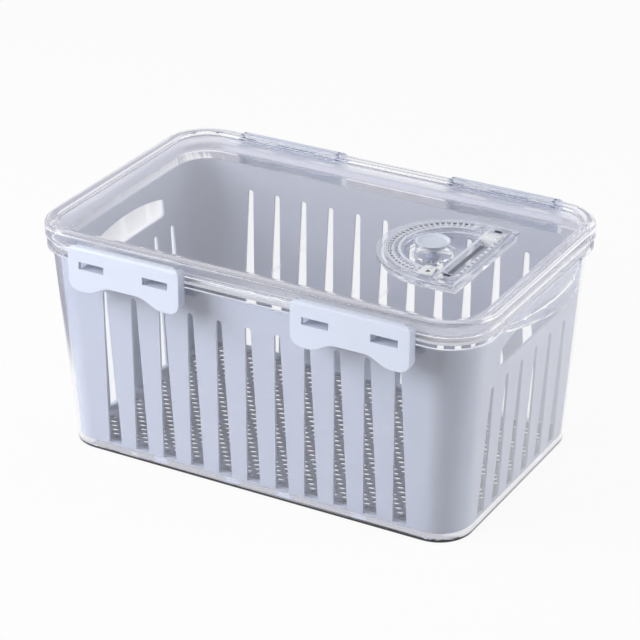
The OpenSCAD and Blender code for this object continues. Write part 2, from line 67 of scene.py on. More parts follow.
# %% Camera
azimuth = math.radians(29.14)
elevation = math.radians(26.36)
camera_distance = 1.6027
aim = Vector((0.29, -0.86, 80.9)) * mm
towards_camera = Vector((math.sin(azimuth) * math.cos(elevation),
                         -math.cos(azimuth) * math.cos(elevation),
                         math.sin(elevation)))
camera_data = bpy.data.cameras.new("camera")
camera_data.sensor_width = 36
camera_data.lens = 36 * 2607.6 / 640
camera_data.clip_start = 0.05
camera = bpy.data.objects.new("camera", camera_data)
bpy.context.scene.collection.objects.link(camera)
camera.location = aim + towards_camera * camera_distance
camera.rotation_mode = "QUATERNION"
camera.rotation_quaternion = (-towards_camera).to_track_quat("-Z", "Y")
bpy.context.scene.camera = camera
print("Lens", round(camera_data.lens, 1), "mm, camera at", [round(v, 3) for v in camera.location])

# %% [markdown]
# ## Small tools for node trees
# Every material below is a handful of shader nodes. Two helpers keep them
# short: one places a node and sets its inputs, one joins two sockets. A third
# makes an empty node group with named sockets, for the effects that several
# plastics share.

# %% Node helpers
def put(tree, kind, **values):
    node = tree.nodes.new(kind)
    for name, value in values.items():
        setattr(node, name, value)
    return node


def wire(tree, source, target):
    tree.links.new(source, target)


def new_group(name, inputs, outputs):
    group = bpy.data.node_groups.new(name, "ShaderNodeTree")
    for label, kind, value in inputs:
        socket = group.interface.new_socket(label, in_out="INPUT", socket_type=kind)
        socket.default_value = value
    for label, kind in outputs:
        group.interface.new_socket(label, in_out="OUTPUT", socket_type=kind)
    return group, put(group, "NodeGroupInput"), put(group, "NodeGroupOutput")


print("Node helpers ready")

# %% [markdown]
# ## A zone of a piece
# Some parts of one solid look different from the rest. The lid's plug wall,
# which carries the seal, has a fine matt texture and a faint painted glow. The
# bin's lowest edge is thick and rounded and looks like a dark line, which is
# painted shade: its plastic is painted near black there. The basket's floor gets
# painted shade, darker than its walls, and its feet a painted glow. Each of these
# zones is a mask over Object coordinates. The first value is how far a point is
# from the straight core of the box, measured round its corners, and the second
# is its height. The mask is one where both lie between two limits.

# %% Zone mask
core_half = (120 * mm, 65 * mm)
zone, zone_in, zone_out = new_group(
    "core_zone",
    [("Inner", "NodeSocketFloat", -1), ("Outer", "NodeSocketFloat", 1),
     ("Bottom", "NodeSocketFloat", 0), ("Top", "NodeSocketFloat", 1)],
    [("Mask", "NodeSocketFloat")])
zone_place = put(zone, "ShaderNodeTexCoord")
positive = put(zone, "ShaderNodeVectorMath", operation="ABSOLUTE")
past_core = put(zone, "ShaderNodeVectorMath", operation="SUBTRACT")
past_core.inputs[1].default_value = (*core_half, 1)
clipped = put(zone, "ShaderNodeVectorMath", operation="MAXIMUM")
clipped.inputs[1].default_value = (0, 0, 0)
reach = put(zone, "ShaderNodeVectorMath", operation="LENGTH")
zone_height = put(zone, "ShaderNodeSeparateXYZ")
wire(zone, zone_place.outputs["Object"], positive.inputs[0])
wire(zone, positive.outputs["Vector"], past_core.inputs[0])
wire(zone, past_core.outputs["Vector"], clipped.inputs[0])
wire(zone, clipped.outputs["Vector"], reach.inputs[0])
wire(zone, zone_place.outputs["Object"], zone_height.inputs["Vector"])
limits = [(reach.outputs["Value"], "GREATER_THAN", "Inner"),
          (reach.outputs["Value"], "LESS_THAN", "Outer"),
          (zone_height.outputs["Z"], "GREATER_THAN", "Bottom"),
          (zone_height.outputs["Z"], "LESS_THAN", "Top")]
mask = None
for value, comparison, limit in limits:
    test = put(zone, "ShaderNodeMath", operation=comparison)
    wire(zone, value, test.inputs[0])
    wire(zone, zone_in.outputs[limit], test.inputs[1])
    if mask is None:
        mask = test.outputs[0]
        continue
    both_hold = put(zone, "ShaderNodeMath", operation="MULTIPLY")
    wire(zone, mask, both_hold.inputs[0])
    wire(zone, test.outputs[0], both_hold.inputs[1])
    mask = both_hold.outputs[0]
wire(zone, mask, zone_out.inputs["Mask"])


def zone_mask(tree, inner=-1, outer=1, bottom=-1, top=1):
    node = put(tree, "ShaderNodeGroup", node_tree=zone)
    for name, value in (("Inner", inner), ("Outer", outer), ("Bottom", bottom), ("Top", top)):
        node.inputs[name].default_value = value
    return node.outputs["Mask"]


print("Group", zone.name, "has", len(zone.nodes), "nodes")

# %% [markdown]
# ## An effect for moulded plastic
# Injection moulded plastic isn't perfectly even. Its colour drifts a little
# over a wall, and its skin has a very fine grain that softens the highlights.
# Two noise textures do both: a broad one for the drift and a fine one for the
# grain. They read Object coordinates, so they stay on the piece when it moves.
# The group puts out a colour, a roughness and a height for a Bump node.

# %% Moulded plastic effect
skin, skin_in, skin_out = new_group(
    "moulded_skin",
    [("Colour", "NodeSocketColor", (0.8, 0.8, 0.8, 1)), ("Shade", "NodeSocketColor", (0.7, 0.7, 0.7, 1)),
     ("Drift", "NodeSocketFloat", 0.3), ("Gloss", "NodeSocketFloat", 0.4),
     ("Grain", "NodeSocketFloat", 900)],
    [("Colour", "NodeSocketColor"), ("Roughness", "NodeSocketFloat"), ("Height", "NodeSocketFloat")])
skin_place = put(skin, "ShaderNodeTexCoord")
broad = put(skin, "ShaderNodeTexNoise")
broad.inputs["Scale"].default_value = 14
broad.inputs["Detail"].default_value = 2
grain = put(skin, "ShaderNodeTexNoise")
grain.inputs["Detail"].default_value = 3
drift = put(skin, "ShaderNodeMath", operation="MULTIPLY")
tint = put(skin, "ShaderNodeMix", data_type="RGBA")
shine = put(skin, "ShaderNodeMath", operation="MULTIPLY_ADD")
shine.inputs[1].default_value = 0.12
wire(skin, skin_place.outputs["Object"], broad.inputs["Vector"])
wire(skin, skin_place.outputs["Object"], grain.inputs["Vector"])
wire(skin, skin_in.outputs["Grain"], grain.inputs["Scale"])
wire(skin, broad.outputs["Fac"], drift.inputs[0])
wire(skin, skin_in.outputs["Drift"], drift.inputs[1])
wire(skin, drift.outputs[0], tint.inputs["Factor"])
wire(skin, skin_in.outputs["Colour"], tint.inputs["A"])
wire(skin, skin_in.outputs["Shade"], tint.inputs["B"])
wire(skin, grain.outputs["Fac"], shine.inputs[0])
wire(skin, skin_in.outputs["Gloss"], shine.inputs[2])
wire(skin, tint.outputs["Result"], skin_out.inputs["Colour"])
wire(skin, shine.outputs[0], skin_out.inputs["Roughness"])
wire(skin, grain.outputs["Fac"], skin_out.inputs["Height"])
print("Group", skin.name, "has", len(skin.nodes), "nodes")


# %% A material of moulded plastic
plastic_ior = 1.49


def moulded(name, colour, shade, drift_share=0.3, gloss=0.35, grain_scale=900, bump=0.06,
            edge=0.4, subsurface=0.0):
    material = bpy.data.materials.new(name)
    material.use_nodes = True
    tree = material.node_tree
    shader = tree.nodes["Principled BSDF"]
    effect = put(tree, "ShaderNodeGroup", node_tree=skin)
    effect.inputs["Colour"].default_value = (*colour, 1)
    effect.inputs["Shade"].default_value = (*shade, 1)
    effect.inputs["Drift"].default_value = drift_share
    effect.inputs["Gloss"].default_value = gloss
    effect.inputs["Grain"].default_value = grain_scale
    rounded = put(tree, "ShaderNodeBevel", samples=4)
    rounded.inputs["Radius"].default_value = edge * mm
    relief = put(tree, "ShaderNodeBump")
    relief.inputs["Strength"].default_value = bump
    relief.inputs["Distance"].default_value = 0.1 * mm
    wire(tree, effect.outputs["Colour"], shader.inputs["Base Color"])
    wire(tree, effect.outputs["Roughness"], shader.inputs["Roughness"])
    wire(tree, effect.outputs["Height"], relief.inputs["Height"])
    wire(tree, rounded.outputs["Normal"], relief.inputs["Normal"])
    wire(tree, relief.outputs["Normal"], shader.inputs["Normal"])
    shader.inputs["IOR"].default_value = plastic_ior
    shader.inputs["Subsurface Weight"].default_value = subsurface
    shader.inputs["Subsurface Radius"].default_value = (0.8, 0.85, 1)
    shader.inputs["Subsurface Scale"].default_value = 1.5 * mm
    return material


basket_plastic = moulded("basket_plastic", (0.665, 0.695, 0.80), (0.61, 0.64, 0.75),
                         drift_share=0.35, gloss=0.36)
latch_plastic = moulded("latch_plastic", (0.73, 0.785, 0.92), (0.69, 0.745, 0.89), gloss=0.33, edge=0.8)
white_plastic = moulded("white_plastic", (0.94, 0.955, 0.99), (0.91, 0.925, 0.97), gloss=0.25, edge=0.3)
print("Moulded plastics:", basket_plastic.name, latch_plastic.name, white_plastic.name)

# %% [markdown]
# In the photograph the basket's floor is darker than its walls, by more than
# the lamps here make it, so it gets painted shade: a darker colour of its own.
# The feet came out nearly black in this light and are pale in the photograph,
# so they get painted light and shine a little by themselves. Both are matched
# to the picture, not derived from the plastic, and the shine has to come out
# for a dark room.

# %% The basket's floor and feet
floor_tree = basket_plastic.node_tree
# Painted shade: the colour of the floor zone is multiplied darker.
painted_floor_shade = put(floor_tree, "ShaderNodeMix", data_type="RGBA", blend_type="MULTIPLY")
painted_floor_shade.inputs["B"].default_value = (0.55, 0.55, 0.57, 1)
basket_shader = floor_tree.nodes["Principled BSDF"]
plain_colour = basket_shader.inputs["Base Color"].links[0].from_socket
floor_zone = zone_mask(floor_tree, outer=11.5 * mm, bottom=5.8 * mm, top=7.6 * mm)
wire(floor_tree, plain_colour, painted_floor_shade.inputs["A"])
wire(floor_tree, floor_zone, painted_floor_shade.inputs["Factor"])
wire(floor_tree, painted_floor_shade.outputs["Result"], basket_shader.inputs["Base Color"])
# Painted light: the feet zone glows by itself.
lit_feet = put(floor_tree, "ShaderNodeMix", data_type="RGBA")
lit_feet.inputs["A"].default_value = (0, 0, 0, 1)
lit_feet.inputs["B"].default_value = (0.30, 0.305, 0.33, 1)
wire(floor_tree, zone_mask(floor_tree, top=5.4 * mm), lit_feet.inputs["Factor"])
wire(floor_tree, lit_feet.outputs["Result"], basket_shader.inputs["Emission Color"])
basket_shader.inputs["Emission Strength"].default_value = 1
print("The basket's material has", len(floor_tree.nodes), "nodes")

# %% [markdown]
# ## An effect for clear plastic
# The bin, the lid and the dial are crystal clear. They get the refraction of
# acrylic, 1.49, and so do the coloured plastics. What the eye sees is their
# edges and gloss, and a few fine scuffs on the lid. A slight ripple, as moulds
# leave, is a guess. One noise gives the ripple, and a second one, stretched and
# cut to its peaks, gives the scuffs as patches that are a little rougher.

# %% Clear plastic effect
clear, clear_in, clear_out = new_group(
    "clear_skin",
    [("Gloss", "NodeSocketFloat", 0.02), ("Scuff", "NodeSocketFloat", 0.12),
     ("Ripple", "NodeSocketFloat", 9)],
    [("Roughness", "NodeSocketFloat"), ("Height", "NodeSocketFloat")])
clear_place = put(clear, "ShaderNodeTexCoord")
turned = put(clear, "ShaderNodeMapping")
turned.inputs["Rotation"].default_value = (0, 0, math.radians(35))
turned.inputs["Scale"].default_value = (260, 9, 60)
scuffs = put(clear, "ShaderNodeTexNoise")
scuffs.inputs["Scale"].default_value = 1
scuffs.inputs["Distortion"].default_value = 0.6
peaks = put(clear, "ShaderNodeMapRange")
peaks.inputs["From Min"].default_value = 0.66
peaks.inputs["From Max"].default_value = 0.78
patches = put(clear, "ShaderNodeMath", operation="MULTIPLY_ADD")
ripple = put(clear, "ShaderNodeTexNoise")
ripple.inputs["Detail"].default_value = 1
wire(clear, clear_place.outputs["Object"], turned.inputs["Vector"])
wire(clear, turned.outputs["Vector"], scuffs.inputs["Vector"])
wire(clear, scuffs.outputs["Fac"], peaks.inputs["Value"])
wire(clear, peaks.outputs["Result"], patches.inputs[0])
wire(clear, clear_in.outputs["Scuff"], patches.inputs[1])
wire(clear, clear_in.outputs["Gloss"], patches.inputs[2])
wire(clear, clear_place.outputs["Object"], ripple.inputs["Vector"])
wire(clear, clear_in.outputs["Ripple"], ripple.inputs["Scale"])
wire(clear, patches.outputs[0], clear_out.inputs["Roughness"])
wire(clear, ripple.outputs["Fac"], clear_out.inputs["Height"])
print("Group", clear.name, "has", len(clear.nodes), "nodes")


# %% [markdown]
# Some rays that enter a rim never leave it: the two skins of a flat panel hand
# them on by total reflection, like light in an optical fibre. Real light comes
# back out at a far edge as a soft grey, but a render gives such a ray up after
# a number of bounces and leaves black. So at one fixed depth, which few other
# rays reach, the plastic adds a grey itself, matched by trial. Lamps shine
# through the clear walls as shadow rays, which a transparent shader lets pass
# with a loss.

# %% A material of clear plastic
trapped_depth = 13


def see_through(name, colour, trapped_grey, shade, clearness=1, gloss=0.015, scuff=0.1):
    material = bpy.data.materials.new(name)
    material.use_nodes = True
    tree = material.node_tree
    shader = tree.nodes["Principled BSDF"]
    effect = put(tree, "ShaderNodeGroup", node_tree=clear)
    effect.inputs["Gloss"].default_value = gloss
    effect.inputs["Scuff"].default_value = scuff
    relief = put(tree, "ShaderNodeBump")
    relief.inputs["Strength"].default_value = 0.02
    relief.inputs["Distance"].default_value = 1 * mm
    wire(tree, effect.outputs["Roughness"], shader.inputs["Roughness"])
    wire(tree, effect.outputs["Height"], relief.inputs["Height"])
    wire(tree, relief.outputs["Normal"], shader.inputs["Normal"])
    shader.inputs["Base Color"].default_value = (*colour, 1)
    shader.inputs["IOR"].default_value = plastic_ior
    shader.inputs["Transmission Weight"].default_value = clearness
    path = put(tree, "ShaderNodeLightPath")
    trapped = put(tree, "ShaderNodeMath", operation="COMPARE")
    trapped.inputs[1].default_value = trapped_depth
    trapped.inputs[2].default_value = 0.5
    guided = put(tree, "ShaderNodeMix", data_type="RGBA")
    guided.inputs["A"].default_value = (0, 0, 0, 1)
    guided.inputs["B"].default_value = (*trapped_grey, 1)
    wire(tree, path.outputs["Ray Depth"], trapped.inputs[0])
    wire(tree, trapped.outputs[0], guided.inputs["Factor"])
    wire(tree, guided.outputs["Result"], shader.inputs["Emission Color"])
    shader.inputs["Emission Strength"].default_value = 1
    lamp_light = put(tree, "ShaderNodeBsdfTransparent")
    lamp_light.inputs["Color"].default_value = (*shade, 1)
    choice = put(tree, "ShaderNodeMixShader")
    output = tree.nodes["Material Output"]
    wire(tree, path.outputs["Is Shadow Ray"], choice.inputs["Fac"])
    wire(tree, shader.outputs["BSDF"], choice.inputs[1])
    wire(tree, lamp_light.outputs["BSDF"], choice.inputs[2])
    wire(tree, choice.outputs["Shader"], output.inputs["Surface"])
    return material


print("The grey is added at a depth of", trapped_depth, "bounces")

# %% [markdown]
# Two zones of the clear pieces look different. The lid's plug wall looks
# frosted, and gets a rough surface and a faint painted glow of its own, which
# stands in for light that the frost would scatter. The bin's foot is a dark line
# in the photograph but came out pale here, so the plastic has a painted dark
# colour there, a painted shade. Both are matched to the picture too.

# %% Zones of the clear plastics
# Painted light: besides its frost, the plug wall zone glows faintly by itself.
def frost_and_glow_wall(material, roughness, leak):
    tree = material.node_tree
    shader = tree.nodes["Principled BSDF"]
    guided = shader.inputs["Emission Color"].links[0].from_node
    leaking = put(tree, "ShaderNodeMix", data_type="RGBA")
    leaking.inputs["A"].default_value = (0, 0, 0, 1)
    leaking.inputs["B"].default_value = (*leak, 1)
    plain = shader.inputs["Roughness"].links[0].from_socket
    mask = zone_mask(tree, inner=20.6 * mm, outer=24.6 * mm, top=144.7 * mm)
    frosted = put(tree, "ShaderNodeMix", data_type="FLOAT")
    frosted.inputs["B"].default_value = roughness
    wire(tree, mask, frosted.inputs["Factor"])
    wire(tree, mask, leaking.inputs["Factor"])
    wire(tree, leaking.outputs["Result"], guided.inputs["A"])
    wire(tree, plain, frosted.inputs["A"])
    wire(tree, frosted.outputs["Result"], shader.inputs["Roughness"])


# Painted shade: the bin's foot zone gets a near black colour.
def painted_foot_shade(material, colour, dark):
    tree = material.node_tree
    mask = zone_mask(tree, bottom=0.08 * mm, top=2.4 * mm)
    tint = put(tree, "ShaderNodeMix", data_type="RGBA")
    tint.inputs["A"].default_value = (*colour, 1)
    tint.inputs["B"].default_value = (*dark, 1)
    wire(tree, mask, tint.inputs["Factor"])
    wire(tree, tint.outputs["Result"], tree.nodes["Principled BSDF"].inputs["Base Color"])


crystal = (0.985, 0.988, 0.995)
clear_bin = see_through("clear_bin", crystal, (0.58, 0.58, 0.64), (0.86, 0.88, 0.93))
painted_foot_shade(clear_bin, crystal, (0.002, 0.002, 0.003))
clear_lid = see_through("clear_lid", crystal, (0.52, 0.52, 0.58), (0.82, 0.825, 0.84), scuff=0.08)
frost_and_glow_wall(clear_lid, 0.3, (0.045, 0.045, 0.052))
clear_dial = see_through("clear_dial", (0.93, 0.94, 0.985), (0.45, 0.45, 0.53), (0.82, 0.83, 0.86),
                         clearness=0.86, gloss=0.03, scuff=0.05)
print("Clear plastics:", clear_bin.name, clear_lid.name, clear_dial.name)

# %% [markdown]
# ## Frosted plastic for the knob and rubber for the seals
# The vent knob looks like a milky plastic: light goes in and comes out
# softened. A rough transmission would need many samples, so it gets a share of
# subsurface light instead. The seals hardly show, and are given the look of
# pale silicone rubber, with a soft sheen.

# %% Knob and seals
knob_plastic = moulded("knob_plastic", (0.76, 0.81, 0.93), (0.71, 0.76, 0.89),
                       gloss=0.28, edge=0.5, subsurface=0.3)
seal_rubber = moulded("seal_rubber", (0.92, 0.92, 0.95), (0.87, 0.87, 0.91),
                      gloss=0.5, grain_scale=1500, edge=0.2)
seal_rubber.node_tree.nodes["Principled BSDF"].inputs["Sheen Weight"].default_value = 0.3
print("Knob and seals:", knob_plastic.name, seal_rubber.name)

# %% [markdown]
# ## Pieces that stand for a solid
# The CAD mesh of a rounded wall is a run of flat facets. The eye catches them
# on a glossy corner. We copy the mesh, merge its loose triangles and shade it
# smooth, but only where two faces meet at a small angle, so that rims and
# slots stay crisp. The dial rests on the lid. Where the faces of two clear
# pieces lie in one plane, a refracted ray can miss one of them and is then
# trapped inside, which looks black. So the dial's copy is lifted off its place
# by a twentieth of a millimetre, and the floor below lies as much lower.

# %% Copy a solid with smooth corners
def finish_piece(mesh, name, material, body, *stands_for):
    piece = bpy.data.objects.new(name, mesh)
    bpy.context.scene.collection.objects.link(piece)
    mesh.materials.clear()
    mesh.materials.append(material)
    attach(piece, body)
    if stands_for:
        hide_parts(*stands_for)
    return piece


def merged_copy(node):
    shape = bmesh.new()
    shape.from_mesh(nodes[node].data)
    bmesh.ops.remove_doubles(shape, verts=shape.verts, dist=0.002 * mm)
    mesh = bpy.data.meshes.new(node + "_copy")
    shape.to_mesh(mesh)
    shape.free()
    for name in ("custom_normal", "sharp_edge", "sharp_face"):
        if name in mesh.attributes:
            mesh.attributes.remove(mesh.attributes[name])
    return mesh


def smooth_corners(mesh, angle=28):
    shape = bmesh.new()
    shape.from_mesh(mesh)
    limit = math.radians(angle)
    for face in shape.faces:
        face.smooth = True
    for edge in shape.edges:
        edge.smooth = len(edge.link_faces) == 2 and edge.calc_face_angle(0) < limit
    shape.to_mesh(mesh)
    shape.free()


air_gap = 0.05 * mm
shells = {
    "bin": ("bin_shell", clear_bin, "box", "clear_bin", 0),
    "lid": ("lid_shell", clear_lid, "lid_body", "clear_lid", 0),
    "dial_frame": ("dial_shell", clear_dial, "lid_body", "clear_dial", air_gap),
}
for node, (name, material, body, slot, lift) in shells.items():
    mesh = merged_copy(node)
    smooth_corners(mesh)
    mesh.transform(Matrix.Translation((0, 0, lift)))
    finish_piece(mesh, name, material, body, node)
    print(name, "has", len(mesh.polygons), "faces")

# %% [markdown]
# ## The basket's perforated floor
# Water from washed fruit drains through the basket's floor. The photograph
# shows it only in strips between the wall's slots, as rows of small light
# dashes, so the size, number and staggering of the holes are guessed from those.
# The solid model has fewer and longer ones. We could paint them as a texture,
# but holes that light falls through look right from every side. So the copy of
# the basket first gets a plate that closes its floor, then a shallow pocket from
# below that thins it between the feet, and then a Boolean modifier cuts 999
# little slots from it. One slot is a circle whose halves are pulled apart,
# extruded to a prism.

# %% Basket floor
floor_low = 5.5 * mm
floor_high = 7.1 * mm
wall_at_floor = Vector((267.7, 162.6)) * mm
corner_at_floor = 19.2 * mm
hole_length = 4.6 * mm
hole_width = 3.4 * mm
pitch_x = 7.4 * mm
pitch_y = 5.0 * mm
thin_floor = 0.8 * mm
feet_margin = 10 * mm
plate_inset = 1 * mm
overlap = 0.02 * mm
overshoot = 1 * mm
blank_edge = 14 * mm
round_blank = 22 * mm


def apply_boolean(mesh, cutter_mesh, operation):
    base = bpy.data.objects.new("base", mesh)
    cutter = bpy.data.objects.new("cutter", cutter_mesh)
    for thing in (base, cutter):
        bpy.context.scene.collection.objects.link(thing)
    modifier = base.modifiers.new("cut", "BOOLEAN")
    modifier.operation = operation
    modifier.object = cutter
    modifier.solver = "MANIFOLD"
    bpy.context.view_layer.update()
    depsgraph = bpy.context.evaluated_depsgraph_get()
    result = bpy.data.meshes.new_from_object(base.evaluated_get(depsgraph))
    bpy.data.objects.remove(base)
    bpy.data.objects.remove(cutter)
    return result


def prism(shape, outline_verts, low, high):
    face = shape.faces.new(outline_verts)
    for vert in outline_verts:
        vert.co.z = low
    lifted = bmesh.ops.extrude_face_region(shape, geom=[face])["geom"]
    top_verts = [part for part in lifted if isinstance(part, bmesh.types.BMVert)]
    bmesh.ops.translate(shape, vec=(0, 0, high - low), verts=top_verts)


def pulled_circle(shape, radius, half_x, half_y, segments):
    ring = bmesh.ops.create_circle(shape, segments=segments, radius=radius)["verts"]
    for vert in ring:
        vert.co.x += math.copysign(half_x, vert.co.x) if abs(vert.co.x) > 1e-9 else 0
        vert.co.y += math.copysign(half_y, vert.co.y) if abs(vert.co.y) > 1e-9 else 0
    return ring


def new_mesh(shape, name):
    bmesh.ops.recalc_face_normals(shape, faces=shape.faces)
    mesh = bpy.data.meshes.new(name)
    shape.to_mesh(mesh)
    shape.free()
    return mesh


plate = bmesh.new()
corner = corner_at_floor - plate_inset
half = wall_at_floor / 2 - Vector((plate_inset, plate_inset))
ring = pulled_circle(plate, corner, half.x - corner, half.y - corner, 44)
prism(plate, ring, floor_low - overlap, floor_high + overlap)
plate_mesh = new_mesh(plate, "floor_plate")

pocket = bmesh.new()
ring = pulled_circle(pocket, corner - feet_margin, half.x - corner, half.y - corner, 44)
prism(pocket, ring, floor_low - overshoot, floor_high - thin_floor)
pocket_mesh = new_mesh(pocket, "floor_pocket")

holes = bmesh.new()
rows = int((half.y * 2 - blank_edge) / pitch_y)
columns = int((half.x * 2 - blank_edge) / pitch_x)
hole_count = 0
for row in range(rows + 1):
    for column in range(columns + 1 - row % 2):
        x = (column - (columns - row % 2) / 2) * pitch_x
        y = (row - rows / 2) * pitch_y
        past_x = max(0, abs(x) + hole_length / 2 - half.x + round_blank)
        past_y = max(0, abs(y) - half.y + round_blank)
        if math.hypot(past_x, past_y) > 16 * mm:
            continue
        ring = pulled_circle(holes, hole_width / 2, hole_length / 2 - hole_width / 2, 0, 10)
        bmesh.ops.translate(holes, vec=(x, y, 0), verts=ring)
        prism(holes, ring, floor_low - overshoot, floor_high + overshoot)
        hole_count += 1
holes_mesh = new_mesh(holes, "floor_holes")

basket_mesh = apply_boolean(merged_copy("drain_basket"), plate_mesh, "UNION")
basket_mesh = apply_boolean(basket_mesh, pocket_mesh, "DIFFERENCE")
basket_mesh = apply_boolean(basket_mesh, holes_mesh, "DIFFERENCE")
smooth_corners(basket_mesh)
basket = finish_piece(basket_mesh, "perforated_basket", basket_plastic, "box", "drain_basket")
print("The basket's floor has", hole_count, "slots and the basket", len(basket_mesh.polygons), "faces")

# %% [markdown]
# ## Numbers and ticks on the date dial
# The dial shows the day round its ring and the month along its straight track.
# The numbers look printed in dark ink. Each number here is a text object,
# turned to stand on the ring, made a mesh and joined into one piece, so that it
# sits at the origin like every other piece. Clear plastic would swallow such
# small print, so thin pale bands lie under it. A dark band along the inner half
# of the month track is painted shadow, where the inner rail shades it. The ticks
# are thin bars, made from scaled cubes.

# %% Inks and print helpers
dial_centre = Vector((88.5, 0)) * mm
dial_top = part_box("dial_frame")[1].z + air_gap
deck = dial_top - 0.4 * mm
print_t = 0.1 * mm
flat = {"bump": 0.02, "edge": 0.05}
ink = moulded("dial_ink", (0.02, 0.022, 0.03), (0.035, 0.038, 0.05), gloss=0.45, **flat)
ring_paint = moulded("ring_paint", (0.82, 0.85, 0.95), (0.76, 0.79, 0.89), gloss=0.3, **flat)
# The dark track paint is painted shadow of the inner rail, not ink.
track_shadow_paint = moulded("track_shadow_paint", (0.26, 0.265, 0.29), (0.32, 0.325, 0.35), gloss=0.4, **flat)


def number_mesh(text, size, place, turn, thick=0.05 * mm, bold=0.13 * mm):
    curve = bpy.data.curves.new("number", "FONT")
    curve.body = text
    curve.size = size
    curve.align_x = "CENTER"
    curve.align_y = "CENTER"
    curve.extrude = thick
    curve.offset = bold
    curve.resolution_u = 2
    thing = bpy.data.objects.new("number", curve)
    bpy.context.scene.collection.objects.link(thing)
    bpy.context.view_layer.update()
    depsgraph = bpy.context.evaluated_depsgraph_get()
    mesh = bpy.data.meshes.new_from_object(thing.evaluated_get(depsgraph))
    bpy.data.objects.remove(thing)
    mesh.transform(Matrix.Translation(place) @ Matrix.Rotation(turn, 4, "Z"))
    return mesh


def joined(meshes):
    shape = bmesh.new()
    for mesh in meshes:
        shape.from_mesh(mesh)
    return new_mesh(shape, "joined")


def bar(shape, length, width, height, place, turn):
    stretch = Matrix.Diagonal((length, width, height, 1))
    move = Matrix.Translation(place) @ Matrix.Rotation(turn, 4, "Z") @ stretch
    bmesh.ops.create_cube(shape, size=1, matrix=move)


def arc_band(shape, inner, outer, low, high, start, end, steps):
    rings = []
    for step in range(steps + 1):
        angle = start + (end - start) * step / steps
        out = Vector((math.cos(angle), math.sin(angle)))
        corners = [(inner, low), (outer, low), (outer, high), (inner, high)]
        rings.append([shape.verts.new((*(dial_centre + out * r), z)) for r, z in corners])
    for one, two in zip(rings, rings[1:]):
        for k in range(4):
            shape.faces.new((one[k], one[(k + 1) % 4], two[(k + 1) % 4], two[k]))
    shape.faces.new(rings[0])
    shape.faces.new(rings[-1])


print("Inks:", ink.name, ring_paint.name, track_shadow_paint.name)

# %% Day numbers
day_r = 36.6 * mm
day_tick_r = 33.9 * mm
day_meshes = []
ticks = bmesh.new()
deck_print = deck + print_t
for day in range(31):
    angle = math.radians(97 + day * 166 / 30)
    out = Vector((math.cos(angle), math.sin(angle)))
    place = dial_centre + out * day_r
    spot = (place.x, place.y, deck_print)
    day_meshes.append(number_mesh(str(31 - day), 2.7 * mm, spot, angle + math.pi))
    place = dial_centre + out * day_tick_r
    bar(ticks, 0.8 * mm, 0.7 * mm, 0.12 * mm, (place.x, place.y, deck_print), angle)
day_numbers = finish_piece(joined(day_meshes), "day_numbers", ink, "lid_body")
band = bmesh.new()
half_turn = (math.radians(90), math.radians(270), 90)
rail_print = dial_top + 0.05 * mm
arc_band(band, 33.4 * mm, 38.5 * mm, deck + 0.02 * mm, deck_print, *half_turn)
arc_band(band, 29.9 * mm, 31.6 * mm, dial_top + 0.01 * mm, rail_print, *half_turn)
arc_band(band, 38.8 * mm, 39.4 * mm, dial_top + 0.01 * mm, rail_print, *half_turn)
track_x = 102.5 * mm
inner_rail_x = track_x - 5.5 * mm
outer_rail_x = track_x + 5.7 * mm
rail_middle = dial_top + 0.03 * mm
bar(band, 1.9 * mm, 70 * mm, 0.04 * mm, (inner_rail_x, 0, rail_middle), 0)
bar(band, 2.3 * mm, 66 * mm, 0.04 * mm, (outer_rail_x, 0, rail_middle), 0)
ring_band = finish_piece(new_mesh(band, "ring_band"), "ring_band", ring_paint, "lid_body")
print("day_numbers has", len(day_numbers.data.polygons), "faces, ring_band", len(ring_band.data.polygons))

# %% Month numbers
track_floor = dial_top - 3.8 * mm
month_meshes = []
for month in range(12):
    y = (28 - month * 5.1) * mm
    spot = (outer_rail_x, y, rail_print)
    month_meshes.append(number_mesh(str(month + 1), 2.6 * mm, spot, -math.pi / 2,
                                    thick=0.03 * mm, bold=0.12 * mm))
    bar(ticks, 1.6 * mm, 0.5 * mm, 0.12 * mm, (track_x + 3 * mm, y, track_floor), 0)
for side in (-1, 1):
    bar(ticks, 4.6 * mm, 2.8 * mm, 0.06 * mm, (track_x, side * 34.2 * mm, rail_print), 0)
month_numbers = finish_piece(joined(month_meshes), "month_numbers", ink, "lid_body")
dial_ticks = finish_piece(new_mesh(ticks, "dial_ticks"), "dial_ticks", ink, "lid_body")
# Painted shadow: a dark band on the inner half of the month track, where the inner rail shades it.
shaded = bmesh.new()
bar(shaded, 2.8 * mm, 62.6 * mm, print_t, (track_x - 2.9 * mm, 0, track_floor + print_t / 2), 0)
finish_piece(new_mesh(shaded, "track_shadow_band"), "track_shadow_band", track_shadow_paint, "lid_body")
print("month_numbers has", len(month_numbers.data.polygons), "faces,",
      "dial_ticks", len(dial_ticks.data.polygons))

# %% [markdown]
# The pointer carries a small printed arrow, and moves. So the arrow is a piece
# of its own that rides on the pointer's body.

# %% The pointer's arrow
arrow = bmesh.new()
pointer_low, pointer_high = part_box("day_pointer")
ring = bmesh.ops.create_circle(arrow, segments=3, radius=1.8 * mm)["verts"]
prism(arrow, ring, pointer_high.z - 0.62 * mm, pointer_high.z - 0.5 * mm)
turn = Matrix.Rotation(math.radians(-87), 3, "Z")
bmesh.ops.rotate(arrow, cent=(0, 0, 0), matrix=turn, verts=arrow.verts)
bmesh.ops.translate(arrow, vec=(dial_centre.x + 2.8 * mm, -36.2 * mm, 0), verts=arrow.verts)
finish_piece(new_mesh(arrow, "pointer_mark"), "pointer_mark", ink, "day_pointer_body")
print("pointer mark at", [round(v * 1000, 1) for v in (pointer_low + pointer_high) / 2])

# %% [markdown]
# ## Materials on the solids that stay
# The other solids have the right shape already. Each gets its material in its
# own slots, and nothing about its mesh changes.

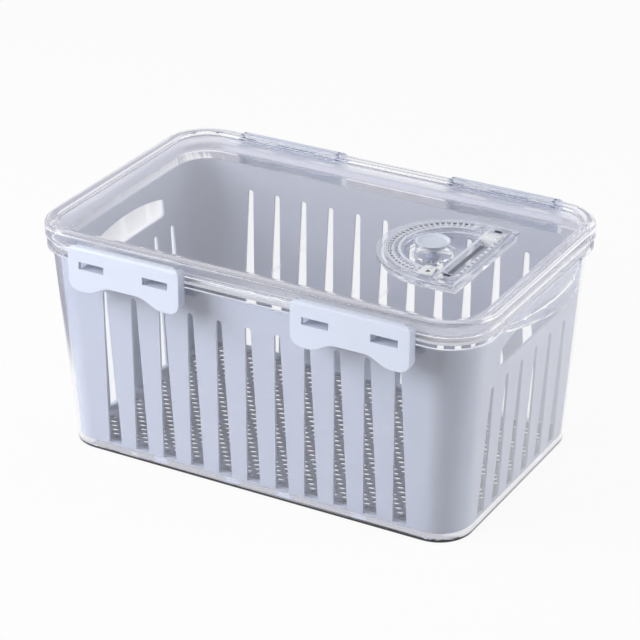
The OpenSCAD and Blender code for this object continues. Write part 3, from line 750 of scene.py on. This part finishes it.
# %% Materials on the solids
finishes = {
    "lid_gasket": seal_rubber,
    "latch_front_left": latch_plastic, "latch_front_right": latch_plastic,
    "latch_back_left": latch_plastic, "latch_back_right": latch_plastic,
    "day_pointer": white_plastic, "month_slider": white_plastic,
    "vent_plug": knob_plastic, "vent_seal": seal_rubber,
}
for node, material in finishes.items():
    for material_slot in nodes[node].material_slots:
        material_slot.material = material
print("Finished", len(finishes), "solids")

# %% [markdown]
# ## Floor and background
# The product stands on white, with hardly a shadow. A floor that is only a
# white material turns grey where the light falls off, so for the camera, and
# for rays that are mirrored or pass through the clear plastic, part of it is a
# plain white that shines by itself. The rest is a diffuse white that keeps the
# shadow. A ray that has already left a dull surface must not meet that shine,
# or the floor would light the basket like a lamp, so its Diffuse Depth counts
# too. In the photograph the rims carry grey lines at the left and the back, as
# if something darker stood there, though the background is plain white. What it
# was isn't known. So the shine is greyer beyond two edges of the floor, placed
# by trial to match those lines, but not for the camera itself.

# %% Rays that look straight at the background
def looking_rays(tree):
    path = put(tree, "ShaderNodeLightPath")
    mirrored = put(tree, "ShaderNodeMath", operation="MAXIMUM")
    either = put(tree, "ShaderNodeMath", operation="MAXIMUM")
    first = put(tree, "ShaderNodeMath", operation="LESS_THAN")
    first.inputs[1].default_value = 0.5
    looking = put(tree, "ShaderNodeMath", operation="MULTIPLY")
    wire(tree, path.outputs["Is Glossy Ray"], mirrored.inputs[0])
    wire(tree, path.outputs["Is Transmission Ray"], mirrored.inputs[1])
    wire(tree, path.outputs["Is Camera Ray"], either.inputs[0])
    wire(tree, mirrored.outputs[0], either.inputs[1])
    wire(tree, path.outputs["Diffuse Depth"], first.inputs[0])
    wire(tree, either.outputs[0], looking.inputs[0])
    wire(tree, first.outputs[0], looking.inputs[1])
    return looking.outputs[0], mirrored.outputs[0]


# %% Floor
def within(tree, value, low, high, soft):
    rise = put(tree, "ShaderNodeMapRange")
    rise.inputs["From Min"].default_value = low
    rise.inputs["From Max"].default_value = low + soft
    fall = put(tree, "ShaderNodeMapRange")
    fall.inputs["From Min"].default_value = high
    fall.inputs["From Max"].default_value = high - soft
    span = put(tree, "ShaderNodeMath", operation="MULTIPLY")
    wire(tree, value, rise.inputs["Value"])
    wire(tree, value, fall.inputs["Value"])
    wire(tree, rise.outputs["Result"], span.inputs[0])
    wire(tree, fall.outputs["Result"], span.inputs[1])
    return span.outputs[0]


left_edge = (0.243, 0.285)
back_edge = (0.345, 0.392)
floor_shape = bmesh.new()
bmesh.ops.create_grid(floor_shape, x_segments=1, y_segments=1, size=6)
bmesh.ops.translate(floor_shape, vec=(0, 0, -air_gap), verts=floor_shape.verts)
floor_mesh = new_mesh(floor_shape, "floor")
floor = bpy.data.objects.new("floor", floor_mesh)
bpy.context.scene.collection.objects.link(floor)
pale = bpy.data.materials.new("pale_floor")
pale.use_nodes = True
tree = pale.node_tree
tree.nodes.remove(tree.nodes["Principled BSDF"])
matt = put(tree, "ShaderNodeBsdfDiffuse")
matt.inputs["Color"].default_value = (0.90, 0.90, 0.91, 1)
glow = put(tree, "ShaderNodeEmission")
glow.inputs["Strength"].default_value = 1
share = put(tree, "ShaderNodeMath", operation="MULTIPLY")
share.inputs[1].default_value = 0.92
both = put(tree, "ShaderNodeMixShader")
floor_place = put(tree, "ShaderNodeTexCoord")
leftward = put(tree, "ShaderNodeVectorMath", operation="DOT_PRODUCT")
leftward.inputs[1].default_value = (-1, -0.15, 0)
beyond = put(tree, "ShaderNodeMapRange")
beyond.inputs["From Min"].default_value = left_edge[0]
beyond.inputs["From Max"].default_value = left_edge[1]
far_edge = put(tree, "ShaderNodeSeparateXYZ")
either_edge = put(tree, "ShaderNodeMath", operation="MAXIMUM")
unseen = put(tree, "ShaderNodeMath", operation="SUBTRACT")
unseen.inputs[0].default_value = 1
dim = put(tree, "ShaderNodeMath", operation="MULTIPLY")
table = put(tree, "ShaderNodeMix", data_type="RGBA")
table.inputs["A"].default_value = (1, 1, 1, 1)
table.inputs["B"].default_value = (0.38, 0.38, 0.46, 1)
floor_path = put(tree, "ShaderNodeLightPath")
wire(tree, floor_place.outputs["Object"], leftward.inputs[0])
wire(tree, leftward.outputs["Value"], beyond.inputs["Value"])
wire(tree, floor_path.outputs["Is Camera Ray"], unseen.inputs[1])
wire(tree, floor_place.outputs["Object"], far_edge.inputs["Vector"])
wire(tree, beyond.outputs["Result"], either_edge.inputs[0])
wire(tree, within(tree, far_edge.outputs["Y"], *back_edge, 0.008), either_edge.inputs[1])
wire(tree, either_edge.outputs[0], dim.inputs[0])
wire(tree, unseen.outputs[0], dim.inputs[1])
wire(tree, dim.outputs[0], table.inputs["Factor"])
wire(tree, table.outputs["Result"], glow.inputs["Color"])
wire(tree, looking_rays(tree)[0], share.inputs[0])
wire(tree, share.outputs[0], both.inputs["Fac"])
wire(tree, matt.outputs["BSDF"], both.inputs[1])
wire(tree, glow.outputs["Emission"], both.inputs[2])
wire(tree, both.outputs["Shader"], tree.nodes["Material Output"].inputs["Surface"])
floor.data.materials.append(pale)
print("Floor is", round(floor.dimensions.x, 1), "m wide")

# %% [markdown]
# ## The room
# Clear plastic has no colour of its own. It shows what is round it, so the room
# is part of its look: white at the height of the eye and greyer towards the
# ceiling, which gives the grey lines along the rims. The same room lights the
# box much more softly, and least from the side where the camera stands, so the
# rounded corner between front and end stays the darkest place, as in the
# photograph. Light that reaches a dull surface through clear plastic already
# comes in as a shadow ray, so the room is black for the refracted copy of it.

# %% World
world = bpy.data.worlds.new("studio")
bpy.context.scene.world = world
world.use_nodes = True
tree = world.node_tree
back = tree.nodes["Background"]
direction = put(tree, "ShaderNodeTexCoord")
height = put(tree, "ShaderNodeSeparateXYZ")
sky = put(tree, "ShaderNodeValToRGB")
sky.color_ramp.elements[0].position = 0.0
sky.color_ramp.elements[0].color = (1, 1, 1, 1)
sky.color_ramp.elements[1].position = 1.0
sky.color_ramp.elements[1].color = (0.50, 0.50, 0.57, 1)
middle = sky.color_ramp.elements.new(0.5)
middle.color = (0.84, 0.84, 0.90, 1)
facing = put(tree, "ShaderNodeVectorMath", operation="DOT_PRODUCT")
facing.inputs[1].default_value = (0.49, -0.87, 0.0)
soft_side = put(tree, "ShaderNodeMapRange")
soft_side.inputs["From Min"].default_value = 0.0
soft_side.inputs["From Max"].default_value = 0.9
soft_side.inputs["To Min"].default_value = 0.34
soft_side.inputs["To Max"].default_value = 0.24
dark_side = put(tree, "ShaderNodeMapRange")
dark_side.inputs["From Min"].default_value = 0.1
dark_side.inputs["From Max"].default_value = 0.8
room = put(tree, "ShaderNodeMix", data_type="RGBA", blend_type="MULTIPLY")
room.inputs["B"].default_value = (0.5, 0.5, 0.57, 1)
looking, mirrored = looking_rays(tree)
lit = put(tree, "ShaderNodeMath", operation="SUBTRACT")
lit.inputs[0].default_value = 1
ambient = put(tree, "ShaderNodeMath", operation="MULTIPLY")
strength = put(tree, "ShaderNodeMix", data_type="FLOAT")
colour = put(tree, "ShaderNodeMix", data_type="RGBA")
colour.inputs["A"].default_value = (1, 1, 1, 1)
strength.inputs["B"].default_value = 1
wire(tree, direction.outputs["Generated"], height.inputs["Vector"])
wire(tree, direction.outputs["Generated"], facing.inputs[0])
wire(tree, height.outputs["Z"], sky.inputs["Fac"])
wire(tree, facing.outputs["Value"], soft_side.inputs["Value"])
wire(tree, mirrored, lit.inputs[1])
wire(tree, lit.outputs[0], ambient.inputs[0])
wire(tree, soft_side.outputs["Result"], ambient.inputs[1])
wire(tree, ambient.outputs[0], strength.inputs["A"])
wire(tree, looking, strength.inputs["Factor"])
wire(tree, looking, colour.inputs["Factor"])
wire(tree, facing.outputs["Value"], dark_side.inputs["Value"])
wire(tree, dark_side.outputs["Result"], room.inputs["Factor"])
wire(tree, sky.outputs["Color"], room.inputs["A"])
wire(tree, room.outputs["Result"], colour.inputs["B"])
wire(tree, strength.outputs["Result"], back.inputs["Strength"])
wire(tree, colour.outputs["Result"], back.inputs["Color"])
print("World", world.name, "has", len(tree.nodes), "nodes")


# %% [markdown]
# ## Lamps
# Two large lamps light the walls: one from the left, which also reaches over
# the wall into the basket, and a low one from the right for the end wall. A
# third hangs over the box. They are hidden from rays that pass through the
# plastic, for the reason given above. Clear plastic mirrors and bends light
# many times in its thick rims, so the number of bounces is raised to just past
# the depth at which the clear plastic adds its grey.

# %% Lamps
middle_of_box = Vector((0, 0, 0.07))


def soft_lamp(name, place, size, power):
    data = bpy.data.lights.new(name, "AREA")
    data.shape = "RECTANGLE"
    data.size, data.size_y = size
    data.energy = power
    lamp = bpy.data.objects.new(name, data)
    bpy.context.scene.collection.objects.link(lamp)
    lamp.location = place
    lamp.rotation_mode = "QUATERNION"
    lamp.rotation_quaternion = (middle_of_box - Vector(place)).to_track_quat("-Z", "Y")
    lamp.visible_transmission = False
    return lamp


lamps = [
    soft_lamp("key_lamp", (-1.1, -0.95, 0.76), (1.1, 1.1), 22.8),
    soft_lamp("fill_lamp", (1.55, 0.564, 0.6), (0.9, 0.7), 9.9),
    soft_lamp("top_lamp", (0.1, 0.4, 1.7), (1.2, 0.9), 2.3),
]
scene = bpy.context.scene
scene.view_settings.view_transform = "Standard"
scene.cycles.max_bounces = trapped_depth + 1
scene.cycles.glossy_bounces = trapped_depth + 1
scene.cycles.transmission_bounces = trapped_depth + 1
scene.cycles.transparent_max_bounces = 24
print("Lamps:", [lamp.name for lamp in lamps])
